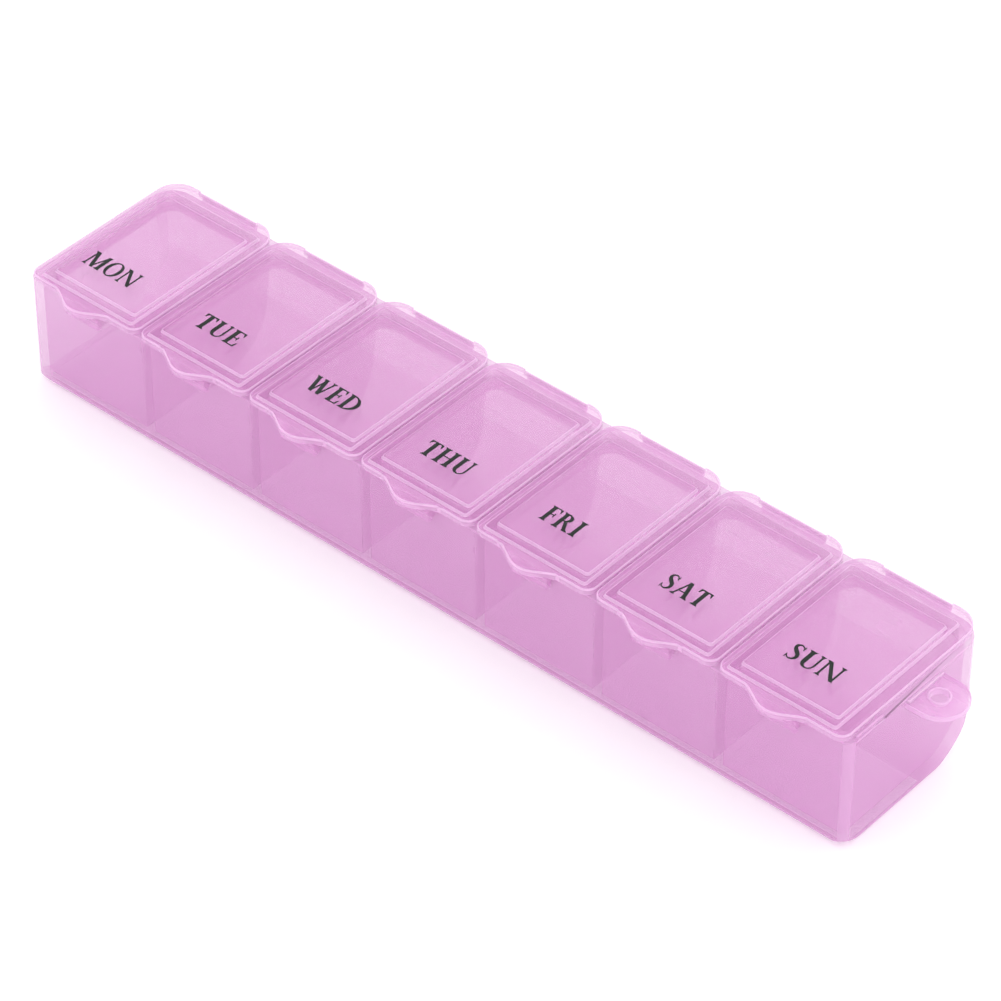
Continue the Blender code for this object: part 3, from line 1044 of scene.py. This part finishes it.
S_LINE = (
    (0.45, 0.76), (0.43, 0.86), (0.37, 0.93), (0.28, 0.965), (0.19, 0.945), (0.12, 0.88), (0.105, 0.79),
    (0.14, 0.69), (0.22, 0.60), (0.32, 0.51), (0.41, 0.42), (0.45, 0.31), (0.44, 0.19), (0.37, 0.09),
    (0.27, 0.04), (0.17, 0.05), (0.09, 0.12), (0.06, 0.24),
)
S_WIDTH = (
    0.03, 0.05, 0.06, 0.07, 0.09, 0.12, 0.14, 0.16, 0.18,
    0.19, 0.18, 0.16, 0.13, 0.10, 0.08, 0.06, 0.05, 0.03,
)
ARM_TOP = [(0.55, 1.0), (0.60, 1.0), (0.62, 0.76), (0.58, 0.76), (0.50, 0.94)]
ARM_FOOT = [(0.54, 0.06), (0.62, 0.27), (0.66, 0.27), (0.63, 0.0), (0.57, 0.0)]
E_STROKES = [
    bar(0.10, 0.10, THICK), cap(0.02, 0.36), foot(0.02, 0.36), beam(0.2, 0.58, 0.94, 1.0), ARM_TOP,
    beam(0.2, 0.47, 0.49, 0.55), bar(0.44, 0.44, 0.05, 0.40, 0.64),
]
LETTERS = {
    "M": (1.06, [
        bar(0.08, 0.12, THIN), bar(0.47, 0.10, THICK), bar(0.47, 0.85, THIN), bar(0.81, 0.81, THICK),
        foot(0.0, 0.25), cap(0.0, 0.30), foot(0.72, 1.06), cap(0.80, 1.06),
    ]),
    "O": (0.88, [
        bowl((0.44, 0.5), (0.43, 0.52), (0.25, 0.455), 0, 180),
        bowl((0.44, 0.5), (0.43, 0.52), (0.25, 0.455), 180, 360),
    ]),
    "N": (0.92, [
        bar(0.10, 0.10, THIN), bar(0.70, 0.06, THICK), bar(0.76, 0.76, THIN), foot(0.01, 0.27),
        cap(0.0, 0.26), cap(0.66, 0.92),
    ]),
    "T": (0.66, [
        bar(0.24, 0.24, THICK), foot(0.14, 0.52), beam(0.03, 0.63, 0.93, 1.0),
        [(0.02, 1.0), (0.0, 0.76), (0.04, 0.76), (0.13, 0.94)],
        [(0.64, 1.0), (0.53, 0.94), (0.62, 0.76), (0.66, 0.76)],
    ]),
    "U": (0.78, [
        bar(0.10, 0.10, THICK, 0.28), bar(0.62, 0.62, THIN, 0.28), cap(0.01, 0.37), cap(0.53, 0.78),
        bowl((0.3975, 0.29), (0.2975, 0.31), (0.17, 0.235), 180, 360, 0.0525),
    ]),
    "E": (0.66, E_STROKES + [beam(0.2, 0.60, 0.0, 0.06), ARM_FOOT]),
    "F": (0.62, E_STROKES),
    "W": (1.14, [
        bar(0.30, 0.05, THICK), bar(0.36, 0.56, THIN), bar(0.70, 0.45, THICK), bar(0.77, 0.98, THIN),
        cap(-0.02, 0.30), cap(0.40, 0.68), cap(0.88, 1.14),
    ]),
    "D": (0.84, [
        bar(0.10, 0.10, THICK), foot(0.02, 0.30), cap(0.02, 0.30),
        bowl((0.24, 0.5), (0.59, 0.5), (0.40, 0.435), -90, 90),
    ]),
    "H": (0.88, [
        bar(0.10, 0.10, THICK), bar(0.60, 0.60, THICK), foot(0.01, 0.37), cap(0.01, 0.37),
        foot(0.51, 0.87), cap(0.51, 0.87), beam(0.2, 0.7, 0.48, 0.54),
    ]),
    "R": (0.86, [
        bar(0.10, 0.10, THICK), foot(0.01, 0.37), cap(0.01, 0.30),
        bowl((0.26, 0.745), (0.37, 0.255), (0.19, 0.19), -90, 90),
        bar(0.62, 0.33, THICK, 0.0, 0.52), foot(0.56, 0.88),
    ]),
    "I": (0.38, [bar(0.10, 0.10, THICK), foot(0.0, 0.38), cap(0.0, 0.38)]),
    "S": (0.54, [
        ribbon(S_LINE, S_WIDTH), bar(0.035, 0.035, 0.04, 0.0, 0.24), bar(0.435, 0.435, 0.04, 0.74, 0.98),
    ]),
    "A": (0.86, [
        bar(0.08, 0.38, THIN), bar(0.62, 0.335, THICK), beam(0.2, 0.62, 0.31, 0.37), foot(0.0, 0.25),
        foot(0.53, 0.88),
    ]),
}
print("letters:", " ".join(sorted(LETTERS)))

# %% Ink
ink = bpy.data.materials.new("dark_ink")
ink.use_nodes = True
ink_tree = ink.node_tree
ink_shader = ink_tree.nodes["Principled BSDF"]
ink_shader.inputs["Specular IOR Level"].default_value = 0.2
ink_place = ink_tree.nodes.new("ShaderNodeTexCoord")
ink_density = remap(ink_tree, add_noise(ink_tree, ink_place, 1500.0), 0.0, 1.0)
ink_tint = ink_tree.nodes.new("ShaderNodeMix")
ink_tint.data_type = "RGBA"
ink_tint.inputs["A"].default_value = (0.006, 0.011, 0.009, 1.0)
ink_tint.inputs["B"].default_value = (0.014, 0.022, 0.018, 1.0)
link(ink_tree, ink_density, "Result", ink_tint, "Factor")
link(ink_tree, ink_tint, "Result", ink_shader, "Base Color")
ink_dryness = remap(ink_tree, add_noise(ink_tree, ink_place, 700.0), 0.35, 0.6)
link(ink_tree, ink_dryness, "Result", ink_shader, "Roughness")

# Each name's left end, right end and foot, in mm from its lid's middle and from the case's middle.
NAME_PLACES = {
    "mon": (-6.28, 3.28, -9.36),
    "tue": (-5.18, 2.75, -9.30),
    "wed": (-5.03, 4.15, -9.22),
    "thu": (-4.68, 3.70, -9.22),
    "fri": (-4.28, 2.10, -8.82),
    "sat": (-4.45, 2.70, -8.78),
    "sun": (-4.53, 3.85, -8.68),
}
CAP_HEIGHT = 3.38 * MM
LETTER_GAP = 0.07
STROKE_STEP = 0.02
STROKE_MERGE = 0.0001
INK_LOW = PANEL_TOP - 0.005 * MM
INK_HIGH = PANEL_TOP + 0.025 * MM


def stroke_solid(outline, order=0):
    """One stroke as a flat solid. Later strokes are a hair taller, so no two tops share a plane."""
    mesh = bmesh.new()
    flat = mesh.faces.new([mesh.verts.new((x, y, 0.0)) for x, y in outline])
    raised = bmesh.ops.extrude_face_region(mesh, geom=[flat])["geom"]
    raised = [item for item in raised if isinstance(item, bmesh.types.BMVert)]
    bmesh.ops.translate(mesh, vec=(0, 0, 1.0 + STROKE_STEP * order), verts=raised)
    bmesh.ops.translate(mesh, vec=(0, 0, -STROKE_STEP * order / 2), verts=mesh.verts[:])
    bmesh.ops.recalc_face_normals(mesh, faces=mesh.faces[:])
    return as_object("stroke", mesh)


def letter_solid(letter):
    strokes = LETTERS[letter][1]
    solid = stroke_solid(strokes[0])
    for order, outline in enumerate(strokes[1:], 1):
        combine(solid, stroke_solid(outline, order), "UNION")
    return solid


letter_solids = {letter: letter_solid(letter) for letter in LETTERS}
for day in DAYS:
    left, right_end, base = NAME_PLACES[day]
    name = day.upper()
    natural = sum(LETTERS[letter][0] for letter in name) + LETTER_GAP * (len(name) - 1)
    wide = (right_end - left) * MM / natural
    label = bmesh.new()
    pen = 0.0
    for letter in name:
        before = len(label.verts)
        label.from_mesh(letter_solids[letter].data)
        label.verts.ensure_lookup_table()
        fresh = label.verts[before:]
        bmesh.ops.translate(label, vec=(pen, 0, 0), verts=fresh)
        pen += LETTERS[letter][0] + LETTER_GAP
    bmesh.ops.remove_doubles(label, verts=label.verts[:], dist=STROKE_MERGE)
    bmesh.ops.scale(label, vec=(wide, CAP_HEIGHT, INK_HIGH - INK_LOW), verts=label.verts[:])
    place = (day_x(day) + left * MM, base * MM, INK_LOW)
    bmesh.ops.translate(label, vec=place, verts=label.verts[:])
    print(name, "open edges:", open_edges(label), "width %.2f mm" % (right_end - left))
    printed = as_object("name_" + day, label)
    printed.data.materials.append(ink)
    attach(printed, "lid_" + day)
for solid in letter_solids.values():
    bpy.data.objects.remove(solid)
